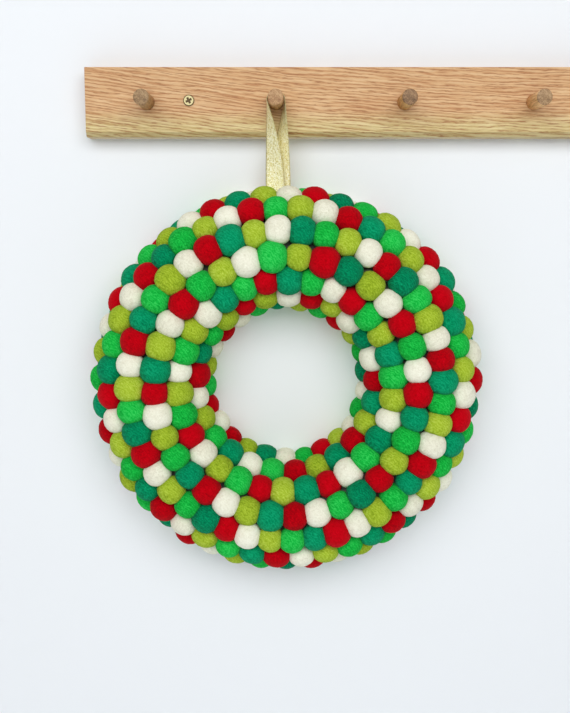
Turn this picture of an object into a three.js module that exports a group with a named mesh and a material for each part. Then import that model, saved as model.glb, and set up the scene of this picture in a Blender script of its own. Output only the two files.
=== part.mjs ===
import * as THREE from "three";

// A wreath of felt balls that hangs by a ribbon loop from the second peg of a peg rail.
// Millimetres. X runs along the rail, +Z is up, and Y = 0 is the wall behind the rail, with the room at -Y.
// The origin is the middle of the board's back face.

// Peg rail
const PEG_PITCH = 100;
const PEG_COUNT = 5;
const END_MARGIN = 48;
const BOARD_HEIGHT = 53;
const BOARD_THICKNESS = 18;
const LOWER_CHAMFER_HEIGHT = 4;
const LOWER_CHAMFER_DEPTH = 3;
const BOARD_LENGTH = (PEG_COUNT - 1) * PEG_PITCH + 2 * END_MARGIN;
const PEG_RADIUS = 6;
const PEG_REACH = 32;
const PEG_CHAMFER = 0.8;
const SCREW_FROM_END = 80.5;
const SCREW_ABOVE_PEGS = 1.2;
const SCREW_HEAD_RADIUS = 4.25;
const SCREW_HEAD_RISE = 0.9;
const HANGING_PEG = 1;

// Wreath: a ring of balls whose tube is centred on the circle RING_RADIUS
const BALL_RADIUS = 10;
const RING_RADIUS = 106;
const BALL_REACH = 37;
// The innermost course is squeezed in last, so its balls stand this much further out.
const INNERMOST_OUT = 2.5;
const CORE_RADIUS = BALL_REACH - BALL_RADIUS;
const CORE_FLAT = 26;
const RING_OFF_PEG = 8;
const RING_DROP = 217.3;
const RING_OFF_WALL = 27;
const BLOCK_COUNT = 12;
const BLOCK_ANGLE = 360 / BLOCK_COUNT;
const BALL_UNEVENNESS = 0.7;

// Ribbon
const RIBBON_WIDTH = 15;
const RIBBON_THICKNESS = 1;
const RIBBON_OFF_WALL = 27;

const GAP = 0.3;
const BOARD_FRONT = -BOARD_THICKNESS;
const pegX = (index) => (index - (PEG_COUNT - 1) / 2) * PEG_PITCH;
const WREATH_CENTRE = new THREE.Vector3(pegX(HANGING_PEG) + RING_OFF_PEG, -RING_OFF_WALL, -RING_DROP);

const FELTS = { W: 0xe8e4d6, R: 0xb3001b, T: 0x0b8560, G: 0x22bd4c, L: 0x9db52c };
// Round each course the felts are laid in this turn.
const TURN = "WRTGL";
// A felt is passed over while it would lie this near to its own colour in the course before.
const TOO_NEAR = 25.2;
// The innermost course was filled in last and keeps no turn.
const INNERMOST_ORDER = "TLGRLGTWGWLRGWTLRWRGLWRWG";

// The courses, from the inside of the hole round the front to the outer side. tilt is the course's angle
// across the tube, 0 at the front and 90 at the outer side. first is where its first ball lies, in degrees
// clockwise from the top, and once and twice are the sine and cosine of a hand's drift from even spacing,
// one and two waves to the ring. A course starts with a felt and follows the turn. At each slip one more
// felt was passed over.
const COURSES = [
  { tilt: -97.5, balls: 25, first: -5.6, once: [2.0, 0.2], twice: [0.5, -0.4], order: INNERMOST_ORDER },
  { tilt: -68, balls: 25, first: 1.6, once: [-0.7, -0.1], twice: [0.4, -0.1], start: "W", slips: [2, 4, 5] },
  { tilt: -38.5, balls: 30, first: 1.4, once: [-1.2, -0.1], twice: [0.6, 0.2], start: "T", slips: [6, 12, 21, 24] },
  { tilt: -9, balls: 34, first: 5.8, once: [2.3, -0.8], twice: [0.6, 0.3], start: "L", slips: [7, 15] },
  { tilt: 20.5, balls: 43, first: 3.3, once: [0.6, 1.9], twice: [0.4, 0.5], start: "T", slips: [] },
  { tilt: 50, balls: 44, first: 4.0, once: [-1.3, 0.7], twice: [-0.4, -0.1], start: "L", slips: [43] },
  { tilt: 79.5, balls: 44, first: 0.4, once: [-1.1, 0.5], twice: [-0.5, 0.1], start: "W", slips: [] },
  { tilt: 109, balls: 44, first: 5.0, once: [-1.0, 0.4], twice: [0, 0], start: "G", slips: [] },
];

const radians = THREE.MathUtils.degToRad;

// Directions at an angle round the ring and a tilt across its tube: along the course, across the courses and
// outwards.
function along(angle) {
  const a = radians(angle);
  return new THREE.Vector3(Math.cos(a), 0, -Math.sin(a));
}

function across(angle, tilt) {
  const a = radians(angle);
  const t = radians(tilt);
  return new THREE.Vector3(Math.cos(t) * Math.sin(a), Math.sin(t), Math.cos(t) * Math.cos(a));
}

function outward(angle, tilt) {
  const a = radians(angle);
  const t = radians(tilt);
  return new THREE.Vector3(Math.sin(t) * Math.sin(a), -Math.cos(t), Math.sin(t) * Math.cos(a));
}

function ringPoint(angle, tilt, reach) {
  const a = radians(angle);
  const onCircle = new THREE.Vector3(Math.sin(a), 0, Math.cos(a)).multiplyScalar(RING_RADIUS);
  return onCircle.addScaledVector(outward(angle, tilt), reach).add(WREATH_CENTRE);
}

// A steady number from 0 to 1 for each ball, so that no two balls lie alike.
function chance(seed) {
  const wave = Math.sin(seed * 12.9898) * 43758.5453;
  return wave - Math.floor(wave);
}

function ballAngle(course, index) {
  const even = (360 * index) / course.balls;
  const a = radians(even);
  const drift = course.once[0] * Math.sin(a) + course.once[1] * Math.cos(a);
  const drift2 = course.twice[0] * Math.sin(2 * a) + course.twice[1] * Math.cos(2 * a);
  return course.first + even + drift + drift2;
}

// Every ball of every course, with the way out from the tube at its place.
function placeBalls() {
  let number = 0;
  return COURSES.map((course, row) =>
    Array.from({ length: course.balls }, (_, index) => {
      const angle = ballAngle(course, index);
      const normal = outward(angle, course.tilt);
      const lift = (chance(number + 0.5) - 0.5) * 2 * BALL_UNEVENNESS;
      const squeezed = row === 0 ? INNERMOST_OUT : 0;
      const centre = ringPoint(angle, course.tilt, BALL_REACH + lift + squeezed);
      return { number: number++, row, index, angle, tilt: course.tilt, normal, centre };
    }),
  );
}

// Gives each ball its felt, course by course from the inside out.
function layFelts(rows) {
  rows.forEach((balls, row) => {
    const { order, start, slips } = COURSES[row];
    if (order) {
      balls.forEach((ball, index) => (ball.felt = order[index]));
      return;
    }
    let next = TURN.indexOf(start);
    for (const ball of balls) {
      const place = ringPoint(ball.angle, ball.tilt, BALL_REACH);
      const before = rows[row - 1].filter((other) => {
        const otherPlace = ringPoint(other.angle, other.tilt, BALL_REACH);
        return otherPlace.distanceTo(place) < TOO_NEAR;
      });
      const clashes = () => before.some((other) => other.felt === TURN[next % TURN.length]);
      while (clashes()) next++;
      if (slips.includes(ball.index)) {
        next++;
        while (clashes()) next++;
      }
      ball.felt = TURN[next % TURN.length];
      next++;
    }
  });
}

// The triangles of three balls that touch between two neighbouring courses, each turning towards the
// outside.
function knitCourses(lower, upper) {
  const angleOf = (balls, step) => balls[step % balls.length].angle + 360 * Math.floor(step / balls.length);
  const at = (balls, step) => balls[step % balls.length];
  let low = 0;
  let high = upper.reduce((best, ball, index) => {
    const off = Math.abs(ball.angle - lower[0].angle);
    return off < Math.abs(upper[best].angle - lower[0].angle) ? index : best;
  }, 0);
  const lastLow = lower.length;
  const lastHigh = high + upper.length;
  const triangles = [];
  while (low < lastLow || high < lastHigh) {
    const lowStep = Math.abs(angleOf(lower, low + 1) - angleOf(upper, high));
    const highStep = Math.abs(angleOf(upper, high + 1) - angleOf(lower, low));
    if (high >= lastHigh || (low < lastLow && lowStep < highStep)) {
      triangles.push([at(lower, low), at(lower, low + 1), at(upper, high)]);
      low++;
    } else {
      triangles.push([at(lower, low), at(upper, high + 1), at(upper, high)]);
      high++;
    }
  }
  return triangles;
}

// How high the crease between two balls stands over the line between their centres.
function creaseHeight(distance) {
  const half = distance / 2;
  const crease = Math.sqrt(Math.max(BALL_RADIUS ** 2 - half ** 2, 0));
  return crease - 1.2 * Math.max(0, half - BALL_RADIUS);
}

// How far a pit between three balls lies under their centres, and where the pits of a free side lie.
const PIT_DEPTH = 2;
const EDGE_PIT_OUT = 4.5;
const EDGE_PIT_DEPTH = 2.5;
const BULGE_TURN = 45;
const SHOULDER = radians(50);

function sumOf(vectors) {
  return vectors.reduce((sum, vector) => sum.add(vector), new THREE.Vector3());
}

// Where three balls meet: for each ball and a neighbour, the pit on their left and the third ball there.
function meetBalls(rows) {
  const meetings = new Map(rows.flat().map((ball) => [ball, new Map()]));
  for (let row = 0; row + 1 < rows.length; row++) {
    for (const [a, b, c] of knitCourses(rows[row], rows[row + 1])) {
      const normal = sumOf([a.normal, b.normal, c.normal]).normalize();
      const middle = sumOf([a.centre, b.centre, c.centre]).multiplyScalar(1 / 3);
      const pit = { position: middle.addScaledVector(normal, -PIT_DEPTH), balls: [a, b, c] };
      meetings.get(a).set(b, { pit, next: c });
      meetings.get(b).set(c, { pit, next: a });
      meetings.get(c).set(a, { pit, next: b });
    }
  }
  return meetings;
}

// Parts the balls into blocks. Each border climbs from course to course through the fewest triangles, so
// that it never doubles back, and keeps as near as it can to its even share of the ring.
function cutBlocks(rows, meetings) {
  const following = (ball) => rows[ball.row][(ball.index + 1) % rows[ball.row].length];
  const preceding = (ball) => rows[ball.row].at(ball.index - 1);
  const offset = (ball, angle) => {
    const middle = ball.angle - 180 / rows[ball.row].length;
    return Math.abs(((((middle - angle) % 360) + 540) % 360) - 180);
  };
  const borders = Array.from({ length: BLOCK_COUNT }, (_, block) => {
    const angle = BLOCK_ANGLE * block;
    const nearer = (best, ball) => (offset(ball, angle) < offset(best, angle) ? ball : best);
    const nearest = (balls) => balls.reduce(nearer);
    const path = [nearest(rows[0])];
    while (path.length < rows.length) {
      const after = path[path.length - 1];
      const before = preceding(after);
      const apex = meetings.get(before).get(after).next;
      const direct = [];
      if (meetings.get(apex).get(after).next.row === apex.row) direct.push(following(apex));
      if (meetings.get(before).get(apex).next.row === apex.row) direct.push(apex);
      path.push(nearest(direct.length ? direct : [apex]));
    }
    return path;
  });
  rows.forEach((balls, row) => {
    borders.forEach((path, block) => {
      const end = borders[(block + 1) % BLOCK_COUNT][row];
      for (let ball = path[row]; ball !== end; ball = following(ball)) ball.block = block;
    });
  });
}

// The skin of touching balls: for each ball the ring of points where it meets its neighbours.
function wrapBalls(rows, meetings) {
  const balls = rows.flat();
  const pairs = new Map();

  function creaseOf(a, b) {
    const key = a.number < b.number ? `${a.number}-${b.number}` : `${b.number}-${a.number}`;
    if (!pairs.has(key)) {
      const normal = sumOf([a.normal, b.normal]).normalize();
      const middle = sumOf([a.centre, b.centre]).multiplyScalar(1 / 2);
      const position = middle.clone().addScaledVector(normal, creaseHeight(a.centre.distanceTo(b.centre)));
      pairs.set(key, { crease: { position, balls: [a, b] }, middle, normal });
    }
    return pairs.get(key);
  }

  // On the first and last course one side is free: two edge pits beside the ball and its bulge between them.
  function freeSide(ball, from, to, side) {
    const edgePit = (other) => {
      const pair = creaseOf(ball, other);
      if (!pair.edgePit) {
        const out = across(ball.angle, ball.tilt).add(across(other.angle, other.tilt)).normalize();
        const position = pair.middle.clone().addScaledVector(out, side * EDGE_PIT_OUT);
        position.addScaledVector(pair.normal, -EDGE_PIT_DEPTH);
        pair.edgePit = { position, balls: [ball, other] };
      }
      return pair.edgePit;
    };
    const bulge = (turn) => {
      const t = radians(side * (90 + turn));
      const position = ball.centre.clone().addScaledVector(along(ball.angle), Math.cos(t) * BALL_RADIUS);
      position.addScaledVector(across(ball.angle, ball.tilt), Math.sin(t) * BALL_RADIUS);
      return { vertex: { position, balls: [ball] }, own: true };
    };
    const turns = side > 0 ? [-BULGE_TURN, 0, BULGE_TURN] : [BULGE_TURN, 0, -BULGE_TURN];
    return [{ vertex: edgePit(from), own: false }, ...turns.map(bulge), { vertex: edgePit(to), own: false }];
  }

  return balls.map((ball) => {
    const row = rows[ball.row];
    const right = row[(ball.index + 1) % row.length];
    const left = row[(ball.index + row.length - 1) % row.length];
    const around = meetings.get(ball);
    const rim = [];
    let other = right;
    do {
      rim.push({ vertex: creaseOf(ball, other).crease, own: false });
      const meeting = around.get(other);
      if (meeting) {
        rim.push({ vertex: meeting.pit, own: true });
        other = meeting.next;
      } else if (ball.row === 0) {
        rim.push(...freeSide(ball, left, right, -1));
        other = right;
      } else {
        rim.push(...freeSide(ball, right, left, 1));
        other = left;
      }
    } while (other !== right);
    return { ball, rim };
  });
}

// One ball's dome over its rim: an apex, a shoulder point towards each pit, and the rim itself.
function domeTriangles({ ball, rim }) {
  const apex = { position: ball.centre.clone().addScaledVector(ball.normal, BALL_RADIUS), balls: [ball] };
  const shoulderTo = (target) => {
    const aim = target.clone().sub(ball.centre);
    aim.addScaledVector(ball.normal, -aim.dot(ball.normal)).normalize();
    const position = ball.centre.clone().addScaledVector(ball.normal, BALL_RADIUS * Math.cos(SHOULDER));
    position.addScaledVector(aim, BALL_RADIUS * Math.sin(SHOULDER));
    return { position, balls: [ball] };
  };
  const start = rim.findIndex((point) => point.own);
  const turned = [...rim.slice(start), ...rim.slice(0, start)];
  const shoulders = [];
  for (const point of turned) {
    shoulders.push(point.own ? shoulderTo(point.vertex.position) : shoulders[shoulders.length - 1]);
  }
  return turned.flatMap((point, index) => {
    const after = (index + 1) % turned.length;
    const triangles = [[point.vertex, turned[after].vertex, shoulders[after]]];
    if (shoulders[after] !== shoulders[index]) {
      triangles.push([point.vertex, shoulders[after], shoulders[index]]);
      triangles.push([apex, shoulders[index], shoulders[after]]);
    }
    return triangles;
  });
}

// The foam ring is a faceted tube, and the blocks' undersides have the same facets a little further out.
const FACETS_ACROSS = 8;
const FACETS_PER_BLOCK = 3;
const EDGE_TILT = 13;
const FIRST_TILT = COURSES[0].tilt - EDGE_TILT;
const LAST_TILT = COURSES[COURSES.length - 1].tilt + EDGE_TILT;
const facetTilts = Array.from(
  { length: FACETS_ACROSS + 1 },
  (_, step) => FIRST_TILT + ((LAST_TILT - FIRST_TILT) * step) / FACETS_ACROSS,
);
const BASE_REACH = CORE_RADIUS + 2 * GAP;

// The side of a block that a point belongs to: 1 next to the block after it, -1 next to the one before, or
// 0.
function sideOf(vertex, block) {
  const others = vertex.balls.map((ball) => ball.block).filter((other) => other !== block);
  if (others.includes((block + 1) % BLOCK_COUNT)) return 1;
  if (others.includes((block + BLOCK_COUNT - 1) % BLOCK_COUNT)) return -1;
  return 0;
}

// The edge of a patch of triangles, as one closed list of its points in the order of their turning.
function edgeLoop(triangles) {
  const following = new Map();
  const sides = triangles.flatMap(([a, b, c]) => [[a, b], [b, c], [c, a]]);
  const ends = new Map();
  for (const [from, to] of sides) {
    if (!ends.has(from)) ends.set(from, new Set());
    ends.get(from).add(to);
  }
  for (const [from, to] of sides) {
    if (!ends.get(to).has(from)) following.set(from, to);
  }
  const [start] = following.keys();
  const loop = [start];
  for (let vertex = following.get(start); vertex !== start; vertex = following.get(vertex)) loop.push(vertex);
  return loop;
}

// A strip between an upper and a lower list of points that run the same way. It steps along the list whose
// next point comes first by its measure, and the upper list's points turn to the left of the strip's
// outside.
function stripBetween(upper, lower, measureUpper, measureLower) {
  const triangles = [];
  let u = 0;
  let l = 0;
  while (u + 1 < upper.length || l + 1 < lower.length) {
    const upperNext = u + 1 < upper.length ? measureUpper(u + 1) : Infinity;
    const lowerNext = l + 1 < lower.length ? measureLower(l + 1) : Infinity;
    if (upperNext <= lowerNext) {
      triangles.push([upper[u + 1], upper[u], lower[l]]);
      u++;
    } else {
      triangles.push([lower[l], lower[l + 1], upper[u]]);
      l++;
    }
  }
  return triangles;
}

const shareOf = (list) => (index) => index / (list.length - 1);

// One block: its balls' domes, a wall down each of its four sides and a faceted underside.
function buildBlock(domes, block) {
  const skin = domes
    .filter(({ ball }) => ball.block === block)
    .flatMap((dome) => domeTriangles(dome).map((corners) => ({ corners, felt: dome.ball.felt })));
  const loop = edgeLoop(skin.map(({ corners }) => corners));

  // The loop is cut at its four corners: along the hole, up the side after, back along the rim, and down.
  const side = loop.map((vertex) => sideOf(vertex, block));
  const count = loop.length;
  const cornerAt = (from, to) => loop.findIndex((_, i) => side[i] === from && side[(i + 1) % count] === to);
  const innerStart = cornerAt(-1, 0);
  const innerEnd = (cornerAt(0, 1) + 1) % count;
  const outerStart = cornerAt(1, 0);
  const outerEnd = (cornerAt(0, -1) + 1) % count;
  const stretch = (from, to) => {
    const length = (to - from + count) % count;
    return Array.from({ length: length + 1 }, (_, step) => loop[(from + step) % count]);
  };

  // The points down one meridian of the underside, from the hole's side to the outer side.
  const column = (step) =>
    facetTilts.map((tilt) => {
      const angle = BLOCK_ANGLE * (block + step / FACETS_PER_BLOCK);
      return { position: ringPoint(angle, tilt, BASE_REACH) };
    });
  const base = Array.from({ length: FACETS_PER_BLOCK + 1 }, (_, step) => column(step));
  const innerBase = base.map((points) => points[0]);
  const outerBase = base.map((points) => points[FACETS_ACROSS]);

  const walls = [];
  const inner = stretch(innerStart, innerEnd);
  walls.push(...stripBetween(inner, innerBase, shareOf(inner), shareOf(innerBase)));
  const after = stretch(innerEnd, outerStart);
  const sideWalls = stripBetween(after, base[FACETS_PER_BLOCK], shareOf(after), shareOf(facetTilts));
  const outer = stretch(outerStart, outerEnd).reverse();
  const outerWall = stripBetween(outer, outerBase, shareOf(outer), shareOf(outerBase));
  walls.push(...outerWall.map(([a, b, c]) => [a, c, b]));
  const before = stretch(outerEnd, innerStart).reverse();
  const beforeWall = stripBetween(before, base[0], shareOf(before), shareOf(facetTilts));
  sideWalls.push(...beforeWall.map(([a, b, c]) => [a, c, b]));
  walls.push(...sideWalls);

  for (let step = 0; step < FACETS_PER_BLOCK; step++) {
    for (let row = 0; row < FACETS_ACROSS; row++) {
      const [a, b] = [base[step][row], base[step + 1][row]];
      const [c, d] = [base[step + 1][row + 1], base[step][row + 1]];
      walls.push([a, c, b], [a, d, c]);
    }
  }

  // The points of the two side walls draw back from the neighbouring block, square to the wall.
  const inward = new Map();
  for (const corners of sideWalls) {
    const [a, b, c] = corners.map(({ position }) => position);
    const square = c.clone().sub(a).cross(b.clone().sub(a)).normalize();
    for (const vertex of corners) {
      if (!inward.has(vertex)) inward.set(vertex, new THREE.Vector3());
      inward.get(vertex).add(square);
    }
  }
  const placed = (vertex) => {
    if (!inward.has(vertex)) return vertex.position;
    return inward.get(vertex).clone().setLength(GAP).add(vertex.position);
  };
  const faces = skin.map(({ corners, felt }) => ({ points: corners.map(placed), color: FELTS[felt] }));
  faces.push(...walls.map((corners) => ({ points: corners.map(placed), color: FELTS.W })));
  return facesMesh(faces);
}

// A geometry of separate triangles, each with its own colour.
function facesMesh(faces) {
  const positions = [];
  const colors = [];
  for (const { points, color } of faces) {
    const tint = new THREE.Color(color);
    for (const point of points) {
      positions.push(point.x, point.y, point.z);
      colors.push(tint.r, tint.g, tint.b);
    }
  }
  const geometry = new THREE.BufferGeometry();
  geometry.setAttribute("position", new THREE.Float32BufferAttribute(positions, 3));
  geometry.setAttribute("color", new THREE.Float32BufferAttribute(colors, 3));
  geometry.computeVertexNormals();
  return geometry;
}

// A closed solid through loops of corners that follow one another, each turning the same way.
function loftSolid(loops, closed) {
  const faces = [];
  const add = (...points) => faces.push({ points, color: 0xffffff });
  const spans = closed ? loops.length : loops.length - 1;
  for (let span = 0; span < spans; span++) {
    const near = loops[span];
    const far = loops[(span + 1) % loops.length];
    near.forEach((corner, i) => {
      const j = (i + 1) % near.length;
      add(corner, near[j], far[j]);
      add(corner, far[j], far[i]);
    });
  }
  if (!closed) {
    const first = loops[0];
    const last = loops[loops.length - 1];
    for (let i = 1; i + 1 < first.length; i++) {
      add(first[0], first[i + 1], first[i]);
      add(last[0], last[i], last[i + 1]);
    }
  }
  return facesMesh(faces);
}

// The foam ring's section: round where the balls sit, cut flat at the back.
function foamRing() {
  const flatTilt = 180 - THREE.MathUtils.radToDeg(Math.acos(CORE_FLAT / CORE_RADIUS));
  const backTilts = [(LAST_TILT + flatTilt) / 2, flatTilt, 360 - flatTilt, (720 + FIRST_TILT - flatTilt) / 2];
  const tilts = [...facetTilts, ...backTilts];
  const facets = BLOCK_COUNT * FACETS_PER_BLOCK;
  const loops = Array.from({ length: facets }, (_, step) =>
    tilts.map((tilt) => ringPoint((360 * step) / facets, tilt, CORE_RADIUS)).reverse(),
  );
  return loftSolid(loops, true);
}

// The ribbon hangs edge on from the peg, and each strand turns a quarter as it drops, to lie flat and go
// down between the last two courses. Both turn the same way, which brings the left strand's inner edge to the
// front and takes the right one's to the back, so they pass without touching. offset is each strand's middle
// at the bottom from the peg's own line, and setBack how far behind the loop's middle it hangs.
const RIBBON_DROP = 70.4;
const STRAND_STEPS = 12;
const OVER_STEPS = 8;
const TWIST_EASE = 1.75;
const LEFT_STRAND = { sign: -1, offset: -0.4, setBack: 1.8 };
const RIGHT_STRAND = { sign: 1, offset: 3.9, setBack: 4.0 };

function ribbonLoop() {
  const loopRadius = PEG_RADIUS + 3 * GAP + RIBBON_THICKNESS / 2;
  const middleY = -RIBBON_OFF_WALL;
  const peg = pegX(HANGING_PEG);
  // One cross-section of the ribbon: a middle, the way its width runs and the way its thickness runs.
  const station = (x, y, z, wide, thick) => {
    const middle = new THREE.Vector3(x, y, z);
    const aside = wide.clone().multiplyScalar(RIBBON_WIDTH / 2);
    const outside = thick.clone().multiplyScalar(RIBBON_THICKNESS / 2);
    const corner = (w, t) => middle.clone().addScaledVector(aside, w).addScaledVector(outside, t);
    return [corner(-1, -1), corner(-1, 1), corner(1, 1), corner(1, -1)];
  };
  const strand = ({ sign, offset, setBack }) =>
    Array.from({ length: STRAND_STEPS }, (_, index) => {
      const fall = (index + 1) / STRAND_STEPS;
      const ease = 1 - (1 - fall) ** TWIST_EASE;
      const x = THREE.MathUtils.lerp(sign * loopRadius, offset, ease);
      const turn = Math.asin(ease);
      const wide = new THREE.Vector3(-Math.sin(turn), Math.cos(turn), 0);
      const thick = new THREE.Vector3(Math.cos(turn), Math.sin(turn), 0).multiplyScalar(-sign);
      return station(peg + x, middleY + setBack * ease, -RIBBON_DROP * fall, wide, thick);
    });
  const over = Array.from({ length: OVER_STEPS + 1 }, (_, index) => {
    const a = Math.PI * (1 - index / OVER_STEPS);
    const thick = new THREE.Vector3(-Math.cos(a), 0, -Math.sin(a));
    const wide = new THREE.Vector3(0, 1, 0);
    return station(peg + loopRadius * Math.cos(a), middleY, loopRadius * Math.sin(a), wide, thick);
  });
  const loops = [...strand(LEFT_STRAND).reverse(), ...over, ...strand(RIGHT_STRAND)];
  return loftSolid(loops, false);
}

// A round piece that stands out of the board's front, given by its profile of radius and height.
function frontPiece(profile, segments) {
  const points = profile.map(([radius, height]) => new THREE.Vector2(radius, height));
  return new THREE.LatheGeometry(points, segments).rotateX(Math.PI);
}

const PEG_PROFILE = [
  [0, 0],
  [PEG_RADIUS, 0],
  [PEG_RADIUS, PEG_REACH - PEG_CHAMFER],
  [PEG_RADIUS - PEG_CHAMFER, PEG_REACH],
  [0, PEG_REACH],
];
const SCREW_PROFILE = [
  [0, 0],
  [SCREW_HEAD_RADIUS, 0],
  [SCREW_HEAD_RADIUS, SCREW_HEAD_RISE / 2],
  [SCREW_HEAD_RADIUS * 0.6, SCREW_HEAD_RISE],
  [0, SCREW_HEAD_RISE],
];

const oak = () => new THREE.MeshStandardMaterial({ color: 0xd3a877, roughness: 0.6, metalness: 0 });
const pegWood = () => new THREE.MeshStandardMaterial({ color: 0xa98462, roughness: 0.6, metalness: 0 });
const brass = () => new THREE.MeshStandardMaterial({ color: 0xc9a75a, roughness: 0.35, metalness: 1 });
const foam = () => new THREE.MeshStandardMaterial({ color: 0xdfe2dc, roughness: 0.9, metalness: 0 });
const lame = () => new THREE.MeshStandardMaterial({ color: 0xe2d489, roughness: 0.4, metalness: 0.5 });
const felt = () =>
  new THREE.MeshStandardMaterial({ vertexColors: true, flatShading: true, roughness: 1, metalness: 0 });

function addMesh(parent, name, geometry, material, x = 0, y = 0, z = 0) {
  const mesh = new THREE.Mesh(geometry, material);
  mesh.name = name;
  mesh.position.set(x, y, z);
  parent.add(mesh);
}

// The board's section, with a chamfer along its lower front edge, drawn out to the board's length.
function railBoard() {
  const half = BOARD_HEIGHT / 2;
  const section = [
    [0, half],
    [0, -half],
    [BOARD_FRONT + LOWER_CHAMFER_DEPTH, -half],
    [BOARD_FRONT, -half + LOWER_CHAMFER_HEIGHT],
    [BOARD_FRONT, half],
  ];
  const end = (x) => section.map(([y, z]) => new THREE.Vector3(x, y, z));
  return loftSolid([end(BOARD_LENGTH / 2), end(-BOARD_LENGTH / 2)], false);
}

function buildRail(parent) {
  addMesh(parent, "rail_board", railBoard(), oak());
  for (let index = 0; index < PEG_COUNT; index++) {
    const peg = frontPiece(PEG_PROFILE, 20);
    addMesh(parent, `peg_${index + 1}`, peg, pegWood(), pegX(index), BOARD_FRONT - GAP, 0);
  }
  const screwX = BOARD_LENGTH / 2 - SCREW_FROM_END;
  for (const [side, x] of Object.entries({ left: -screwX, right: screwX })) {
    const screw = frontPiece(SCREW_PROFILE, 16);
    addMesh(parent, `screw_${side}`, screw, brass(), x, BOARD_FRONT - GAP, SCREW_ABOVE_PEGS);
  }
}

function buildWreath(parent) {
  const rows = placeBalls();
  layFelts(rows);
  const meetings = meetBalls(rows);
  cutBlocks(rows, meetings);
  const domes = wrapBalls(rows, meetings);
  for (let block = 0; block < BLOCK_COUNT; block++) {
    addMesh(parent, `ball_block_${String(block + 1).padStart(2, "0")}`, buildBlock(domes, block), felt());
  }
  addMesh(parent, "foam_ring", foamRing(), foam());
  addMesh(parent, "ribbon_loop", ribbonLoop(), lame());
}

const part = new THREE.Group();
part.name = "felt_ball_wreath_on_peg_rail";
buildRail(part);
buildWreath(part);

export default part;
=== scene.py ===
# %% [markdown]
# # A felt ball wreath on a peg rail
#
# The wreath is a foam ring covered with wool felt balls and hung by a metallic ribbon from an oak rail with
# pegs. The CAD frame holds every piece as a plain solid. Here each piece gets its real surface: round balls
# that press against one another, wool fibres, woven ribbon, oak grain and brass screws.

import math

import bmesh
import bpy
from mathutils import Matrix, Vector


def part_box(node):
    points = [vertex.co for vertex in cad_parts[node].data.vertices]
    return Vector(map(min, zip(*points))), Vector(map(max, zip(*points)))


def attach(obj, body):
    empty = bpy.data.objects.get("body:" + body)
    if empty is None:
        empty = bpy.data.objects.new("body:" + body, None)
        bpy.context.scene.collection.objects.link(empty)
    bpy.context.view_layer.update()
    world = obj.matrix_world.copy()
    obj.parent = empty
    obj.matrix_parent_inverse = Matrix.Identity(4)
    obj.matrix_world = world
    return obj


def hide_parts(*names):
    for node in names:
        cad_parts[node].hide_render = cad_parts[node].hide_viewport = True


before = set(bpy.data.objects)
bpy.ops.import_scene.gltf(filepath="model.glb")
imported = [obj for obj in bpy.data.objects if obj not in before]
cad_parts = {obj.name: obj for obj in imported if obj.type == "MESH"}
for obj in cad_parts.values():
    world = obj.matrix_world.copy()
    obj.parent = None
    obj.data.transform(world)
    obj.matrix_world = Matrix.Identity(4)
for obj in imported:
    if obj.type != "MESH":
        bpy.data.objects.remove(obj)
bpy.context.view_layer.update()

# %% [markdown]
# ## Sizes
#
# Blender works in metres, but a maker thinks of this wreath in millimetres, so sizes are written in
# millimetres and multiplied by MM. The places of the rail and its pegs are measured from the frame's own
# boxes. The ring's sizes are those of the CAD part, because its blocks follow the same layout of balls.

# %% Driving sizes
MM = 0.001
PEG_NAMES = [f"peg_{number}" for number in range(1, 6)]
BLOCK_NAMES = [f"ball_block_{number:02d}" for number in range(1, 13)]
RING_RADIUS = 106
BALL_RADIUS = 10
BALL_REACH = 37
INNERMOST_OUT = 2.5
CORE_RADIUS = 27
CORE_FLAT = 26
BALL_UNEVENNESS = 0.7
RING_OFF_PEG = 8
RING_OFF_WALL = 27
RING_DROP = 217.3


def box_in_mm(node):
    """A CAD node's lowest and highest corner in millimetres."""
    low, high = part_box(node)
    return Vector(low) / MM, Vector(high) / MM


peg_boxes = [box_in_mm(name) for name in PEG_NAMES]
peg_axes = [(low.x + high.x) / 2 for low, high in peg_boxes]
PEG_PITCH = peg_axes[1] - peg_axes[0]
HANGING_PEG_X = peg_axes[1]
WREATH_CENTRE = Vector((HANGING_PEG_X + RING_OFF_PEG, -RING_OFF_WALL, -RING_DROP))
print("pegs at", [round(x, 1) for x in peg_axes], "wreath centre", WREATH_CENTRE)

# %% [markdown]
# ## Helpers for meshes and materials
#
# Every piece is made in a bmesh, turned into one object at the origin and tied to the frame. Every material
# is a small tree of nodes. One function adds any node with its settings and links. The short ones after it
# each add one kind of node and give back its output, so that a recipe below reads as a list of steps.


# %% Make an object from a bmesh
def object_from(name, bm, material):
    """An object at the origin with the mesh of a bmesh."""
    mesh = bpy.data.meshes.new(name)
    bm.to_mesh(mesh)
    bm.free()
    mesh.materials.append(material)
    made = bpy.data.objects.new(name, mesh)
    bpy.context.scene.collection.objects.link(made)
    return made


def make_piece(name, bm, material, nodes, smooth=True):
    """Turns a bmesh in millimetres into a piece that replaces CAD nodes and rides on the root body."""
    bmesh.ops.scale(bm, vec=(MM, MM, MM), verts=bm.verts)
    for face in bm.faces:
        face.smooth = smooth
    piece = object_from(name, bm, material)
    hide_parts(*nodes)
    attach(piece, "root")
    return piece


# %% Rods that point at the wall
# Points that lie this near each other, in millimetres, count as one place.
TOUCHING = 0.01


def lies_at(element, y):
    """Whether an edge or a face lies in the upright plane at that place."""
    return all(abs(vertex.co.y - y) < TOUCHING for vertex in element.verts)


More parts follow.
